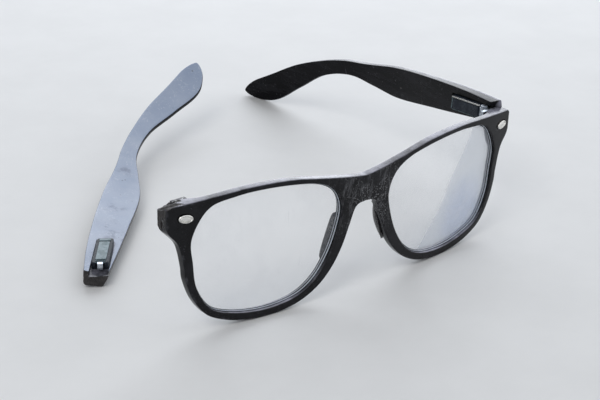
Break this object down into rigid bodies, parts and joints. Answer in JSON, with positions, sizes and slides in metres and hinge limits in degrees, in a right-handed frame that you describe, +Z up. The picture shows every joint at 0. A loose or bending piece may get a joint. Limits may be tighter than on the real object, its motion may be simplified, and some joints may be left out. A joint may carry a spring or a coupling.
{
  "type": "broken eyeglasses",
  "caption": "Plastic eyeglasses with clear lenses, one arm on its sprung hinge and the other arm snapped off and lying beside the front.",
  "frame": {"origin": "middle of the whole group's box, on the surface that it stands on", "axes": "+X along the front to the wearer's left, +Y back towards the wearer's ears, +Z up"},
  "size_m": [0.1566, 0.1566, 0.0461],
  "materials": {
    "black_plastic": "glossy, scuffed at the bridge",
    "dusty_plastic": "black plastic under a blue-grey film of dust, satin",
    "clear_lens": "clear, polished, slightly hazed",
    "bright_metal": "polished",
    "hinge_metal": "satin",
    "case_metal": "dark, half glossy"
  },
  "bodies": {
    "front": {"front_frame": "black_plastic", "lens_left": "clear_lens", "lens_right": "clear_lens", "plaque_left": "bright_metal", "plaque_right": "bright_metal", "hinge_leaf_left": "hinge_metal", "hinge_leaf_right": "hinge_metal", "hinge_screw_left": "hinge_metal", "temple_right": "dusty_plastic", "spring_case_right": "case_metal", "slide_right": "hinge_metal", "spring_right": "hinge_metal"},
    "slide": {"slide_left": "hinge_metal"},
    "arm": {"temple_left": "black_plastic", "spring_case_left": "case_metal", "spring_left": "hinge_metal"}
  },
  "joints": [
    {"name": "arm_hinge", "type": "hinge", "parent": "front", "child": "slide", "pos_m": [0.0638, -0.06373, 0.04069], "axis": [0, 0.0218, 0.9998], "range_deg": [0, 19]},
    {"name": "spring_slide", "type": "slide", "parent": "slide", "child": "arm", "axis": [0.1144, 0.9865, -0.1174], "range_m": [0, 0.002], "stiffness_N_per_m": 2500}
  ]
}
